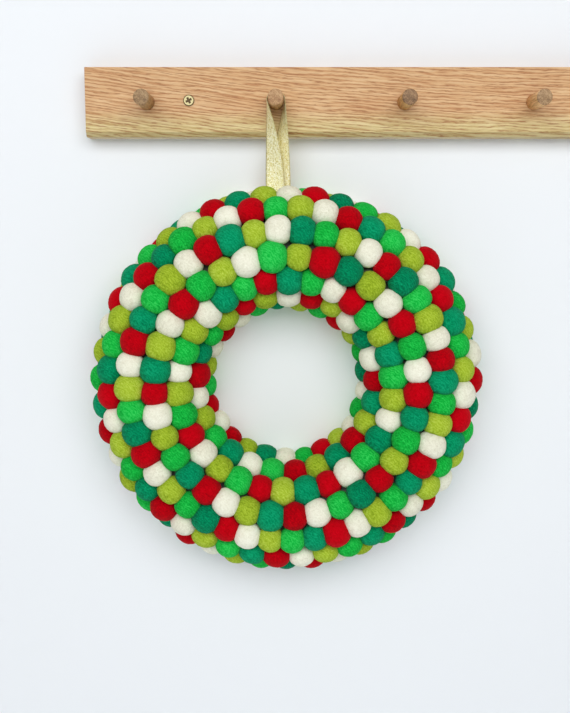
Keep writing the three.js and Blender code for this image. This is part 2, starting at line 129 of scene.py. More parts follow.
def rod_to_wall(low, high, sides, **rim):
    """A round rod that fills a box from front to back, its front rim bevelled with these settings."""
    bm = bmesh.new()
    radius = (high.x - low.x) / 2
    bmesh.ops.create_cone(
        bm,
        cap_ends=True,
        segments=sides,
        radius1=radius,
        radius2=radius,
        depth=high.y - low.y,
        matrix=Matrix.Translation((low + high) / 2) @ Matrix.Rotation(math.radians(90), 4, "X"),
    )
    front_rim = [edge for edge in bm.edges if lies_at(edge, low.y)]
    bmesh.ops.bevel(bm, geom=front_rim, affect="EDGES", material=-1, **rim)
    return bm


# %% Colours and nodes
def linear(hex_color):
    """An sRGB colour such as "#b8001a" as the linear colour that the shader takes."""
    channels = [int(hex_color[start : start + 2], 16) / 255 for start in (1, 3, 5)]
    bent = [c / 12.92 if c <= 0.04045 else ((c + 0.055) / 1.055) ** 2.4 for c in channels]
    return (*bent, 1.0)


def start_material(name, **settings):
    """A new material, with the settings of its Principled shader."""
    material = bpy.data.materials.new(name)
    material.use_nodes = True
    shader = material.node_tree.nodes["Principled BSDF"]
    for key, value in settings.items():
        shader.inputs[key.replace("_", " ")].default_value = value
    return material, shader


def join(material, source, target):
    """Links an output socket to an input socket."""
    material.node_tree.links.new(source, target)


def add_node(material, kind, inputs=None, **settings):
    """Adds a node. Settings go on the node, and inputs hold a value or the socket that feeds each input."""
    node = material.node_tree.nodes.new(kind)
    for key, value in settings.items():
        setattr(node, key, value)
    for key, value in (inputs or {}).items():
        if isinstance(value, bpy.types.NodeSocket):
            join(material, value, node.inputs[key])
        else:
            node.inputs[key].default_value = value
    return node


def object_place(material):
    """The place on the object, from which its textures start."""
    return add_node(material, "ShaderNodeTexCoord").outputs["Object"]


def split(material, vector):
    """The X, Y and Z of a vector."""
    return add_node(material, "ShaderNodeSeparateXYZ", {0: vector}).outputs


def noise(material, place, size, detail, roughness=0.5, distortion=0.0):
    """A noise with lumps of about that many millimetres, as one number (Fac) or three (Color)."""
    inputs = {
        "Vector": place,
        "Scale": 1 / (size * MM),
        "Detail": detail,
        "Roughness": roughness,
        "Distortion": distortion,
    }
    return add_node(material, "ShaderNodeTexNoise", inputs).outputs


# At scale 1 the wave texture turns this many radians in each unit of length.
WAVE_RATE = 20


def waves(material, place, spacing, direction, distortion, detail, detail_scale):
    """Bent bands that many millimetres apart."""
    inputs = {
        "Vector": place,
        "Scale": math.tau / (WAVE_RATE * spacing * MM),
        "Distortion": distortion,
        "Detail": detail,
        "Detail Scale": detail_scale,
    }
    return add_node(material, "ShaderNodeTexWave", inputs, bands_direction=direction).outputs["Fac"]


def calculate(material, operation, *values):
    """One step of arithmetic on one to three numbers."""
    inputs = dict(enumerate(values))
    return add_node(material, "ShaderNodeMath", inputs, operation=operation).outputs["Value"]


def ranged(material, value, start, end, low=0.0, high=1.0):
    """Turns a value between start and end into one between low and high."""
    inputs = {"Value": value, "From Min": start, "From Max": end, "To Min": low, "To Max": high}
    return add_node(material, "ShaderNodeMapRange", inputs).outputs["Result"]


def blended(material, share, first, second):
    """A mix of two numbers, with that share of the second."""
    inputs = {"Factor": share, "A": first, "B": second}
    return add_node(material, "ShaderNodeMix", inputs).outputs["Result"]


def blended_color(material, share, first, second):
    """A mix of two colours, with that share of the second. The node takes colours in sockets 6 and 7."""
    inputs = {0: share, 6: first, 7: second}
    return add_node(material, "ShaderNodeMix", inputs, data_type="RGBA").outputs[2]


def scaled_color(material, color, share):
    """A colour times a number."""
    inputs = {0: color, "Scale": share}
    return add_node(material, "ShaderNodeVectorMath", inputs, operation="SCALE").outputs["Vector"]


def ramp_color(material, value, stops):
    """The colour for a value, from stops that are (place, sRGB hex) pairs."""
    ramp = add_node(material, "ShaderNodeValToRGB", {"Fac": value})
    elements = ramp.color_ramp.elements
    while len(elements) < len(stops):
        elements.new(0.5)
    for element, (place, hex_color) in zip(elements, stops):
        element.position = place
        element.color = linear(hex_color)
    return ramp.outputs["Color"]


def finish_material(material, shader, color, height, strength, depth):
    """Gives the shader its colour and a bump that many millimetres deep, and returns the material."""
    inputs = {"Height": height, "Strength": strength, "Distance": depth * MM}
    bump = add_node(material, "ShaderNodeBump", inputs)
    join(material, color, shader.inputs["Base Color"])
    join(material, bump.outputs["Normal"], shader.inputs["Normal"])
    return material


# %% [markdown]
# ## Where the balls sit
#
# The balls are glued on in eight courses round the ring, from inside the hole round the front to the outer
# side. Each course has its own count of balls, and a hand spaces them a little unevenly, which two sine
# waves describe. The innermost course is squeezed in last and stands a little further out. The balls are
# placed by the same rule as in the CAD part, so that each one lies on the dome that stands for it there.

# %% Courses
# Each course's tilt across the tube and first angle are in degrees. The drift has a sine and a cosine once
# round the ring, and again twice round. Then come the first felt of its turn and the balls where it slips.
COURSES = [
    dict(tilt=-97.5, balls=25, first=-5.6, once=(2.0, 0.2), twice=(0.5, -0.4), start=None, slips=()),
    dict(tilt=-68, balls=25, first=1.6, once=(-0.7, -0.1), twice=(0.4, -0.1), start="W", slips=(2, 4, 5)),
    dict(
        tilt=-38.5,
        balls=30,
        first=1.4,
        once=(-1.2, -0.1),
        twice=(0.6, 0.2),
        start="T",
        slips=(6, 12, 21, 24),
    ),
    dict(tilt=-9, balls=34, first=5.8, once=(2.3, -0.8), twice=(0.6, 0.3), start="L", slips=(7, 15)),
    dict(tilt=20.5, balls=43, first=3.3, once=(0.6, 1.9), twice=(0.4, 0.5), start="T", slips=()),
    dict(tilt=50, balls=44, first=4.0, once=(-1.3, 0.7), twice=(-0.4, -0.1), start="L", slips=(43,)),
    dict(tilt=79.5, balls=44, first=0.4, once=(-1.1, 0.5), twice=(-0.5, 0.1), start="W", slips=()),
    dict(tilt=109, balls=44, first=5.0, once=(-1.0, 0.4), twice=(0, 0), start="G", slips=()),
]


# %% Place the balls
def outward(angle, tilt):
    """The way out of the tube at an angle clockwise from the top and a tilt across the tube, in degrees."""
    a, t = math.radians(angle), math.radians(tilt)
    return Vector((math.sin(t) * math.sin(a), -math.cos(t), math.sin(t) * math.cos(a)))


def ring_point(angle, tilt, reach):
    """A point that far out from the tube's centre circle."""
    a = math.radians(angle)
    on_circle = Vector((math.sin(a), 0, math.cos(a))) * RING_RADIUS
    return WREATH_CENTRE + on_circle + outward(angle, tilt) * reach


def chance(seed):
    """A steady number from 0 to 1, so that no two balls are alike and each run gives the same wreath."""
    wave = math.sin(seed * 12.9898) * 43758.5453
    return wave - math.floor(wave)


def give_or_take(seed, amount):
    """A steady number from minus that amount to plus that amount."""
    return (chance(seed) - 0.5) * 2 * amount


def ball_angle(course, index):
    """Where a ball of a course lies: even spacing and the hand's drift."""
    even = 360 * index / course["balls"]
    a = math.radians(even)
    drift = course["once"][0] * math.sin(a) + course["once"][1] * math.cos(a)
    drift += course["twice"][0] * math.sin(2 * a) + course["twice"][1] * math.cos(2 * a)
    return course["first"] + even + drift


# The fraction that is added to a ball's number, here and below, only makes each draw a new one.
rows = []
number = 0
for row, course in enumerate(COURSES):
    balls = []
    for index in range(course["balls"]):
        angle = ball_angle(course, index)
        lift = give_or_take(number + 0.5, BALL_UNEVENNESS)
        squeezed = INNERMOST_OUT if row == 0 else 0
        balls.append(
            dict(
                number=number,
                index=index,
                normal=outward(angle, course["tilt"]),
                centre=ring_point(angle, course["tilt"], BALL_REACH + lift + squeezed),
                seat=ring_point(angle, course["tilt"], BALL_REACH),
            )
        )
        number += 1
    rows.append(balls)
all_balls = [ball for balls in rows for ball in balls]
print(len(all_balls), "balls in", len(rows), "courses")

# %% [markdown]
# ## Which felt each ball is
#
# The maker lays five felts in one turn, round and round. A felt is passed over while it would touch its own
# colour in the course before, and now and then the hand slips by one. Only the innermost course, filled in
# last, keeps no turn, so its order is written out.

# %% Lay the felts
FELT_NAMES = {"W": "cream", "R": "red", "T": "teal", "G": "green", "L": "lime"}
TURN = "WRTGL"
TOO_NEAR = 25.2
INNERMOST_ORDER = "TLGRLGTWGWLRGWTLRWRGLWRWG"


def touching_felts(ball, before):
    """The felts that a ball touches in the course before."""
    return {other["felt"] for other in before if (other["seat"] - ball["seat"]).length < TOO_NEAR}


def next_free(step, near):
    """The next step of the turn whose felt isn't among those near."""
    while TURN[step % len(TURN)] in near:
        step += 1
    return step


def lay_course(balls, before, start, slips):
    """Gives each ball of a course its felt, in turn."""
    step = TURN.index(start)
    for ball in balls:
        near = touching_felts(ball, before)
        step = next_free(step, near)
        if ball["index"] in slips:
            step = next_free(step + 1, near)
        ball["felt"] = TURN[step % len(TURN)]
        step += 1


for ball, letter in zip(rows[0], INNERMOST_ORDER):
    ball["felt"] = letter
for before, balls, course in zip(rows, rows[1:], COURSES[1:]):
    lay_course(balls, before, course["start"], course["slips"])
for balls in rows:
    print("".join(ball["felt"] for ball in balls))

# %% [markdown]
# ## Felt balls
#
# A felt ball is wool rolled wet until it is a firm, matt ball, never quite round. Glued side by side, two
# balls press each other flat where they touch. Each ball here starts as an icosphere of a few dozen faces.
# Every vertex then slides along its own ray until it meets either the ball's own round or the plane halfway
# to a neighbour. A soft minimum of those distances rounds the edge of the flat, and a Subdivision Surface
# smooths the whole. The balls of one felt make one piece, because one material serves them all.

# %% Shape of a pressed ball
NEIGHBOUR_REACH = 25
PRESS_SHARPNESS = 16
LEAST_FACING = 0.05
SIZE_SPREAD = 0.8
LUMP = 0.22
LUMP_WAVES = 3
LUMP_RATE = 5
PHASE_SPREAD = 6
# Subdivision draws a shape in, so the round and the flats are made this much larger than they end.
ROUND_ALLOWANCE = 1.17
FLAT_ALLOWANCE = 1.22
# A ball that is pressed down on its glue spreads sideways by this share.
SPREAD = 0.1


def ball_size(ball):
    """The ball's own radius: no two are rolled from quite the same wool."""
    return BALL_RADIUS + give_or_take(ball["number"] + 0.2, SIZE_SPREAD)


def neighbours_of(ball):
    """(direction, distance to the flat) for each ball that this one presses. A larger ball takes more."""
    found = []
    for other in all_balls:
        offset = other["centre"] - ball["centre"]
        apart = offset.length
        if other is not ball and apart < NEIGHBOUR_REACH:
            share = (apart**2 + ball_size(ball) ** 2 - ball_size(other) ** 2) / (2 * apart)
            found.append((offset.normalized(), share * FLAT_ALLOWANCE))
    return found


def pressed_radius(direction, ball, neighbours):
    """How far the skin lies from the ball's centre in a direction, and the share that pressing took."""
    seed = ball["number"]
    across = 1 - direction.dot(ball["normal"]) ** 2
    size = ball_size(ball) * ROUND_ALLOWANCE * (1 + SPREAD * across)
    for wave in range(LUMP_WAVES):
        lean = Vector([chance(seed + 0.31 * wave + 0.07 * axis) - 0.5 for axis in range(3)])
        phase = PHASE_SPREAD * chance(seed + 0.77 * wave)
        size += LUMP * math.sin(LUMP_RATE * lean.dot(direction) + phase)
    total = size**-PRESS_SHARPNESS
    for towards, flat in neighbours:
        facing = towards.dot(direction)
        if facing > LEAST_FACING:
            total += (flat / facing) ** -PRESS_SHARPNESS
    pressed = total ** (-1 / PRESS_SHARPNESS)
    return pressed, 1 - pressed / size


# %% Build the balls of one felt
# Each ball is turned about its way out by up to this many radians, a full turn.
ANY_TURN = 6.28


def balls_of(letter):
    """One bmesh with all the balls of a felt. Each vertex carries its ball's tone and how pressed it is."""
    bm = bmesh.new()
    tone = bm.verts.layers.float.new("ball_tone")
    crease = bm.verts.layers.float.new("crease")
    for ball in all_balls:
        if ball["felt"] != letter:
            continue
        neighbours = neighbours_of(ball)
        turn = Matrix.Rotation(ANY_TURN * chance(ball["number"] + 0.9), 4, ball["normal"])
        made = bmesh.ops.create_icosphere(bm, subdivisions=2, radius=1.0, matrix=turn)
        for vertex in made["verts"]:
            direction = vertex.co.normalized()
            radius, pressed = pressed_radius(direction, ball, neighbours)
            vertex.co = ball["centre"] + direction * radius
            vertex[tone] = chance(ball["number"] + 0.6)
            vertex[crease] = pressed
    return bm


# %% [markdown]
# ## Felt
#
# Felted wool is matt and soft to the eye: the fibres lie in swirls, catch light at grazing angles and hide
# every highlight. The swirls are two bent noises and a bent wave, about 1.5 mm apart, which is coarser than
# real wool so that it shows from a step away. The tone of each ball differs a little, as dyed wool does.
# Sheen stands for the fuzz that glows along the outline.

# %% Felt material
# Dark, middle and light tone of each wool, and how much its fibres show.
FELTS = {
    "cream": ("#d7d4bd", "#e8e6d1", "#f4f3e1", 0.05),
    "red": ("#92000b", "#b7000e", "#c80318", 0.08),
    "teal": ("#005e3e", "#008657", "#10a26f", 0.16),
    "green": ("#068a2c", "#16b440", "#3ace5c", 0.16),
    "lime": ("#7a921c", "#9eb72e", "#b9ce4f", 0.16),
}
DARK_AT = 0.42
MIDDLE_AT = 0.57
LIGHT_AT = 0.72
SWIRL = 3.2
FIBRE_PATCH = 1.1
PATCH_SHARE = 0.5
FIBRE_SPACING = 1.5
FIBRE_RELIEF = 0.15
TONE_SPREAD = 0.14
CREASE_FROM = 0.0
CREASE_TO = 0.2
CREASE_DARK = 0.3


def felt(name):
    """Wet-felted wool of one dye."""
    dark, middle, light, strength = FELTS[name]
    material, shader = start_material(
        f"wool_felt_{name}",
        Roughness=0.95,
        IOR=1.45,
        Specular_IOR_Level=0.05,
        Sheen_Weight=0.03,
        Sheen_Roughness=0.5,
    )
    place = object_place(material)
    swirl = noise(material, place, size=SWIRL, detail=2.0, distortion=1.5)["Fac"]
    patches = noise(material, place, size=FIBRE_PATCH, detail=5.0, roughness=0.65, distortion=2.0)["Fac"]
    mixed = blended(material, PATCH_SHARE, swirl, patches)
    # The wool is wound on, so its fibres run side by side in curves, which a bent wave gives.
    fibre = waves(
        material,
        place,
        spacing=FIBRE_SPACING,
        direction="DIAGONAL",
        distortion=10.0,
        detail=4.0,
        detail_scale=1.5,
    )
    tone = add_node(material, "ShaderNodeAttribute", attribute_name="ball_tone").outputs["Fac"]
    toned = calculate(material, "MULTIPLY_ADD", tone, TONE_SPREAD, mixed)
    lit = calculate(material, "MULTIPLY_ADD", fibre, strength, toned)
    stops = [(DARK_AT, dark), (MIDDLE_AT + strength / 2, middle), (LIGHT_AT + strength, light)]
    wool = ramp_color(material, lit, stops)
    # Little light reaches the wool where two balls press each other.
    pressed = add_node(material, "ShaderNodeAttribute", attribute_name="crease").outputs["Fac"]
    shade = ranged(material, pressed, CREASE_FROM, CREASE_TO, low=1.0, high=CREASE_DARK)
    color = scaled_color(material, wool, shade)
    height = calculate(material, "MULTIPLY_ADD", fibre, FIBRE_RELIEF, mixed)
    return finish_material(material, shader, color, height, strength=0.6, depth=0.6)


# %% Dress the ring with balls
for letter, name in FELT_NAMES.items():
    piece = make_piece(f"felt_balls_{name}", balls_of(letter), felt(name), BLOCK_NAMES)
    smoothing = piece.modifiers.new("smooth", "SUBSURF")
    smoothing.levels = 1
    smoothing.render_levels = 1
    print(piece.name, sum(ball["felt"] == letter for ball in all_balls), "balls")

# %% [markdown]
# ## Foam ring
#
# The balls are glued to a ring of expanded foam, round where they sit and cut flat at the back. It shows
# bare from behind. Where four balls meet, a speck of its front shows, darkened with painted shade. Its
# section is a circle with one slice taken off, and spinning that section round the ring's axis makes the
# whole piece.

# %% Foam ring mesh
SECTION_POINTS = 48
RING_STEPS = 144


def foam_ring():
    """The foam ring, spun from its section."""
    bm = bmesh.new()
    at_top = WREATH_CENTRE + Vector((0, 0, RING_RADIUS))
    stand_up = Matrix.Translation(at_top) @ Matrix.Rotation(math.radians(90), 4, "Y")
    bmesh.ops.create_circle(bm, segments=SECTION_POINTS, radius=CORE_RADIUS, matrix=stand_up)
    back = WREATH_CENTRE.y + CORE_FLAT
    for vertex in bm.verts:
        vertex.co.y = min(vertex.co.y, back)
    bmesh.ops.spin(
        bm,
        geom=[*bm.verts, *bm.edges],
        cent=WREATH_CENTRE,
        axis=(0, 1, 0),
        angle=math.tau,
        steps=RING_STEPS,
        use_merge=True,
    )
    bmesh.ops.remove_doubles(bm, verts=bm.verts, dist=TOUCHING)
    bmesh.ops.recalc_face_normals(bm, faces=bm.faces)
    return bm


# %% Foam material
BEAD = 3.0
# Along Y, in millimetres, the painted shade on the front fades out to the bare back between these two
# places.
SHADE_FADES_FROM = -19
SHADE_FADES_TO = -14


def expanded_foam():
    """Expanded polystyrene: pale pressed beads, with dents where they meet and painted shade on the front
    that the balls cover.
    """
    material, shader = start_material("expanded_foam", Roughness=0.85, IOR=1.5)
    place = object_place(material)
    dents = add_node(
        material,
        "ShaderNodeTexVoronoi",
        {"Vector": place, "Scale": 1 / (BEAD * MM)},
        feature="DISTANCE_TO_EDGE",
    ).outputs["Distance"]
    foam = ramp_color(material, dents, [(0.0, "#aab0a8"), (0.12, "#dfe3dc")])
    # Painted shade: the front, which the balls cover, is mixed to a dark grey-green, and only the bare back
    # keeps the pale foam colour.
    bare = ranged(material, split(material, place)["Y"], SHADE_FADES_FROM * MM, SHADE_FADES_TO * MM)
    color = blended_color(material, bare, linear("#8b9084"), foam)
    return finish_material(material, shader, color, dents, strength=0.5, depth=0.5)


make_piece("foam_core", foam_ring(), expanded_foam(), ["foam_ring"])
print("foam ring", RING_STEPS, "steps of", SECTION_POINTS, "points")

# %% [markdown]
# ## Ribbon
#
# A flat woven ribbon goes over the peg and down between the last two courses of balls, where its ends are
# glued. It hangs edge on from the peg and each strand turns a quarter on its way down. Both turn the same
# way, which brings the left strand's inner edge in front of the right strand, and they pass without
# touching. It starts as a flat grid, is laid along that path, and a Solidify modifier gives it its
# thickness. Its UV map is in millimetres, so that the weave runs along the cloth.

# %% Ribbon path
RIBBON_WIDTH = 15
RIBBON_THICKNESS = 0.4
RIBBON_OFF_WALL = 27
RIBBON_DROP = 70.4
RIBBON_OFF_PEG = 0.9
TWIST_EASE = 1.75
# The side of the peg that each strand leaves, and how far it ends to the right and to the back of the loop.
LEFT_STRAND = dict(sign=-1, offset=-0.4, set_back=1.8)
RIGHT_STRAND = dict(sign=1, offset=3.9, set_back=4.0)
peg_low, peg_high = peg_boxes[1]
PEG_RADIUS = (peg_high.x - peg_low.x) / 2
LOOP_RADIUS = PEG_RADIUS + RIBBON_OFF_PEG
OVER_LENGTH = math.pi * LOOP_RADIUS
RIBBON_LENGTH = 2 * RIBBON_DROP + OVER_LENGTH


def ribbon_station(distance):
    """The ribbon's middle and the way its width runs, that far along it from its left end."""
    if RIBBON_DROP <= distance <= RIBBON_DROP + OVER_LENGTH:
        a = math.pi - (distance - RIBBON_DROP) / LOOP_RADIUS
        middle = Vector((LOOP_RADIUS * math.cos(a), 0, LOOP_RADIUS * math.sin(a)))
        wide = Vector((0, 1, 0))
    else:
        on_left = distance < RIBBON_DROP
        strand = LEFT_STRAND if on_left else RIGHT_STRAND
        from_top = RIBBON_DROP - distance if on_left else distance - RIBBON_DROP - OVER_LENGTH
        fall = from_top / RIBBON_DROP
        ease = 1 - max(1 - fall, 0) ** TWIST_EASE
        turn = math.asin(min(ease, 1))
        x = strand["sign"] * LOOP_RADIUS * (1 - ease) + strand["offset"] * ease
        middle = Vector((x, strand["set_back"] * ease, -RIBBON_DROP * fall))
        wide = Vector((-math.sin(turn), math.cos(turn), 0))
    return middle + Vector((HANGING_PEG_X, -RIBBON_OFF_WALL, 0)), wide


# %% Ribbon mesh
RIBBON_STEPS = 160
RIBBON_STRIPS = 10


def ribbon():
    """A flat grid, laid along the path, with its UV map in millimetres of cloth."""
    bm = bmesh.new()
    flat = Matrix.Diagonal((RIBBON_WIDTH / 2, RIBBON_LENGTH / 2, 1, 1))
    bmesh.ops.create_grid(bm, x_segments=RIBBON_STRIPS, y_segments=RIBBON_STEPS, size=1, matrix=flat)
    cloth = bm.loops.layers.uv.new("cloth")
    for face in bm.faces:
        for loop in face.loops:
            loop[cloth].uv = loop.vert.co.xy
    for vertex in bm.verts:
        middle, wide = ribbon_station(vertex.co.y + RIBBON_LENGTH / 2)
        vertex.co = middle + wide * vertex.co.x
    return bm


# %% Ribbon material
THREAD = 0.5
CRINKLE = 1.0
CRINKLE_STRETCH = 0.5
CRINKLE_SHARE = 0.65
SELVEDGE_AND_SHADE_FROM = 6.2
SELVEDGE_AND_SHADE_TO = 7.2
SELVEDGE_AND_SHADE_SHARE = 0.55


def metallic_weave():
    """Woven ribbon with metallised thread: pale gold, crinkled, with a darker edge on each side, partly
    denser weave and partly painted shade.
    """
    material, shader = start_material("metallised_ribbon", Roughness=0.5, Metallic=0.15)
    cloth = add_node(material, "ShaderNodeUVMap", uv_map="cloth").outputs["UV"]
    threads = add_node(
        material,
        "ShaderNodeTexVoronoi",
        {"Vector": cloth, "Scale": 1 / THREAD, "Randomness": 0.6},
        voronoi_dimensions="2D",
    ).outputs["Color"]
    lengthened = add_node(
        material,
        "ShaderNodeMapping",
        {"Vector": cloth, "Scale": (1.0, CRINKLE_STRETCH, 1.0)},
    ).outputs["Vector"]
    crinkles = add_node(
        material,
        "ShaderNodeTexNoise",
        {"Vector": lengthened, "Scale": 1 / CRINKLE, "Detail": 2.0, "Distortion": 1.0},
        noise_dimensions="2D",
    ).outputs["Fac"]
    weave = blended(material, CRINKLE_SHARE, threads, crinkles)
    gold = ramp_color(material, weave, [(0.34, "#c4b564"), (0.47, "#f5ecac"), (0.6, "#fffde2")])
    # The edges are darker: partly the denser woven edge, partly painted shade that marks where the left
    # strand's edge lies over the right one.
    off_middle = calculate(material, "ABSOLUTE", split(material, cloth)["X"])
    edge = ranged(material, off_middle, SELVEDGE_AND_SHADE_FROM, SELVEDGE_AND_SHADE_TO, high=SELVEDGE_AND_SHADE_SHARE)
    color = blended_color(material, edge, gold, linear("#a89646"))
    return finish_material(material, shader, color, weave, strength=0.6, depth=0.3)


hanging_ribbon = make_piece("hanging_ribbon", ribbon(), metallic_weave(), ["ribbon_loop"])
body = hanging_ribbon.modifiers.new("cloth thickness", "SOLIDIFY")
body.thickness = RIBBON_THICKNESS * MM
body.offset = 0
print("ribbon", round(RIBBON_LENGTH, 1), "mm long")

# %% [markdown]
# ## Rail board
#
# The board is planed oak with a chamfer along its lower front edge and its other edges just broken by
# sandpaper. A cube gets the frame's size, the lower front edge is drawn in to the chamfer, and a small bevel
# breaks the rest. Oak's grain runs along the board in fine wavy lines, so its texture space is stretched
# along X and bent by two noises. A wave gives the growth rings at an even distance and a noise makes them
# uneven. The short dark pores lie in the rings' dark lines. The lower strip is yellower sapwood.

# %% Board mesh
EDGE_ROUND = 0.5
LOWER_CHAMFER_HEIGHT = 4
LOWER_CHAMFER_DEPTH = 3
SHARP_ANGLE = 0.1


def rail_board():
    """The board, with its lower chamfer and broken edges."""
    low, high = box_in_mm("rail_board")
    bm = bmesh.new()
    bmesh.ops.create_cube(bm, size=1)
    bmesh.ops.scale(bm, vec=high - low, verts=bm.verts)
    bmesh.ops.translate(bm, vec=(low + high) / 2, verts=bm.verts)
    bmesh.ops.bisect_plane(
        bm,
        geom=[*bm.faces, *bm.edges, *bm.verts],
        plane_co=(0, 0, low.z + LOWER_CHAMFER_HEIGHT),
        plane_no=(0, 0, 1),
    )
    front = [vertex for vertex in bm.verts if vertex.co.y < low.y + TOUCHING]
    lower_front = [vertex for vertex in front if vertex.co.z < low.z + TOUCHING]
    bmesh.ops.translate(bm, vec=(0, LOWER_CHAMFER_DEPTH, 0), verts=lower_front)
    bmesh.ops.bevel(
        bm,
        geom=[edge for edge in bm.edges if edge.calc_face_angle(0) > SHARP_ANGLE],
        offset=EDGE_ROUND,
        segments=3,
        profile=0.5,
        affect="EDGES",
        material=-1,
    )
    return bm


# %% Oak material
RING_SPACING = 2.5
RING_STRETCH = 0.11
GROWTH_BAND = 2.0
BAND_STRETCH = 0.04
RING_SHARE = 0.27
PORE = 0.7
PORE_STRETCH = 0.1
PORES_FROM = 0.42
PORES_TO = 0.52
PORES_IN_LINES = 0.75
PORES_BETWEEN = 0.15
DARK_LINE = 0.1
LIGHT_LINE = 0.7
GRAIN_SLOPE = 4
GRAIN_CURVE = 0.16
SLOW_BEND = 4
SLOW_BEND_LENGTH = 80
RIPPLE = 0.8
RIPPLE_LENGTH = 6
SAPWOOD_FROM = -6
SAPWOOD_TO = -18
CHAMFER_PAINTED_SHADE = 0.83


def planed_oak():
    """Planed and oiled oak: pinkish tan, with growth rings in fine wavy lines and short dark pores."""
    material, shader = start_material("planed_oak", Roughness=0.6, IOR=1.5)
    place = object_place(material)
    axes = split(material, place)
    # The log curved, so the grain falls steeply at the board's left end and lies level at its right end.
    squared = calculate(material, "MULTIPLY", axes["X"], axes["X"])
    arch = calculate(material, "MULTIPLY", squared, -GRAIN_CURVE)
    rise = add_node(material, "ShaderNodeCombineXYZ", {"Z": arch}).outputs["Vector"]
    bent = add_node(material, "ShaderNodeVectorMath", {0: place, 1: rise}, operation="ADD").outputs["Vector"]
    for length, shift in ((SLOW_BEND_LENGTH, SLOW_BEND), (RIPPLE_LENGTH, RIPPLE)):
        bend = noise(material, place, size=length, detail=1.0)["Color"]
        bent = add_node(
            material,
            "ShaderNodeVectorMath",
            {0: bend, 1: (0.0, 0.0, shift * MM), 2: bent},
            operation="MULTIPLY_ADD",
        ).outputs["Vector"]

    def along_grain(stretch):
        """The bent place, drawn out along the sloping grain."""
        inputs = {
            "Vector": bent,
            "Rotation": (0.0, math.radians(GRAIN_SLOPE), 0.0),
            "Scale": (1 / stretch, 1.0, 1.0),
        }
        return add_node(material, "ShaderNodeMapping", inputs, vector_type="TEXTURE").outputs["Vector"]

    bands = noise(material, along_grain(BAND_STRETCH), size=GROWTH_BAND, detail=2.0, roughness=0.6)["Fac"]
    pores = noise(material, along_grain(PORE_STRETCH), size=PORE, detail=2.0, roughness=0.6)["Fac"]
    rings = waves(
        material,
        along_grain(RING_STRETCH),
        spacing=RING_SPACING,
        direction="Z",
        distortion=8.5,
        detail=3.0,
        detail_scale=2.0,
    )
    figure = blended(material, RING_SHARE, bands, rings)
    heart = ramp_color(material, figure, [(0.3, "#b98454"), (0.5, "#cda06f"), (0.68, "#dab587")])
    sap = ramp_color(material, figure, [(0.3, "#b89a5f"), (0.5, "#cab47c"), (0.68, "#d8c691")])
    lowness = ranged(material, axes["Z"], SAPWOOD_FROM * MM, SAPWOOD_TO * MM)
    wood = blended_color(material, lowness, heart, sap)
    # Pores are where their noise is low, and most of them lie in the rings' dark lines.
    open_pores = ranged(material, pores, PORES_FROM, PORES_TO, low=1.0, high=0.0)
    in_rings = ranged(material, rings, DARK_LINE, LIGHT_LINE, low=PORES_IN_LINES, high=PORES_BETWEEN)
    dark = calculate(material, "MULTIPLY", open_pores, in_rings)
    face = blended_color(material, dark, wood, linear("#9a653a"))
    # Painted shade: the down-facing chamfer and everything below its top are darkened, fading in over a
    # short band at its top edge.
    chamfer_top = box_in_mm("rail_board")[0].z + LOWER_CHAMFER_HEIGHT
    tone = ranged(material, axes["Z"], (chamfer_top - EDGE_ROUND) * MM, chamfer_top * MM, low=CHAMFER_PAINTED_SHADE)
    color = scaled_color(material, face, tone)
    return finish_material(material, shader, color, pores, strength=0.2, depth=0.2)


make_piece("oak_board", rail_board(), planed_oak(), ["rail_board"], smooth=False)

# %% [markdown]
# ## Pegs
#
# Each peg is a length of dowel with a small chamfer round its end. A cone with equal ends is a dowel, and
# bevelling its front rim cuts the chamfer. Its grain runs along its length, so the texture space is
# squeezed along Y: the side shows long lines, and the cut end shows their sections as specks.

# %% Peg mesh
CHAMFER = 0.8
PEG_SIDES = 48
PEG_INTO_BOARD = 0.3


def round_peg(low, high):
    """A dowel from the board's face to its chamfered end."""
    seated = high + Vector((0, PEG_INTO_BOARD, 0))
    return rod_to_wall(low, seated, PEG_SIDES, offset=CHAMFER, segments=3, profile=0.5)


# %% Dowel material
GRAIN_BAND = 3.0
GRAIN_FIBRE = 0.6
FIBRE_SHARE = 0.6
GRAIN_SQUEEZE = 0.08
GRAIN_STOPS = (0.36, 0.5, 0.64)
# A face whose normal's Y is under this looks out of the wall, so it is the cut end.
END_FACING = -0.6
# No two dowels come from one tree: dark, middle and light tone of each one's side, then of its cut end.
DOWELS = {
    "peg_1": (("#8a6238", "#b08452", "#c79c68"), ("#6f5436", "#92734e", "#ad8f66")),
    "peg_2": (("#9a6a3c", "#be8c58", "#d4a874"), ("#8c6340", "#aa8156", "#c4a074")),
    "peg_3": (("#a6773f", "#cb9858", "#dfb06e"), ("#5c4229", "#826140", "#a2805a")),
    "peg_4": (("#b2854f", "#deac74", "#efc48e"), ("#7a5c3c", "#9a7953", "#b8976f")),
    "peg_5": (("#8a6238", "#b08452", "#c79c68"), ("#6f5436", "#92734e", "#ad8f66")),
}


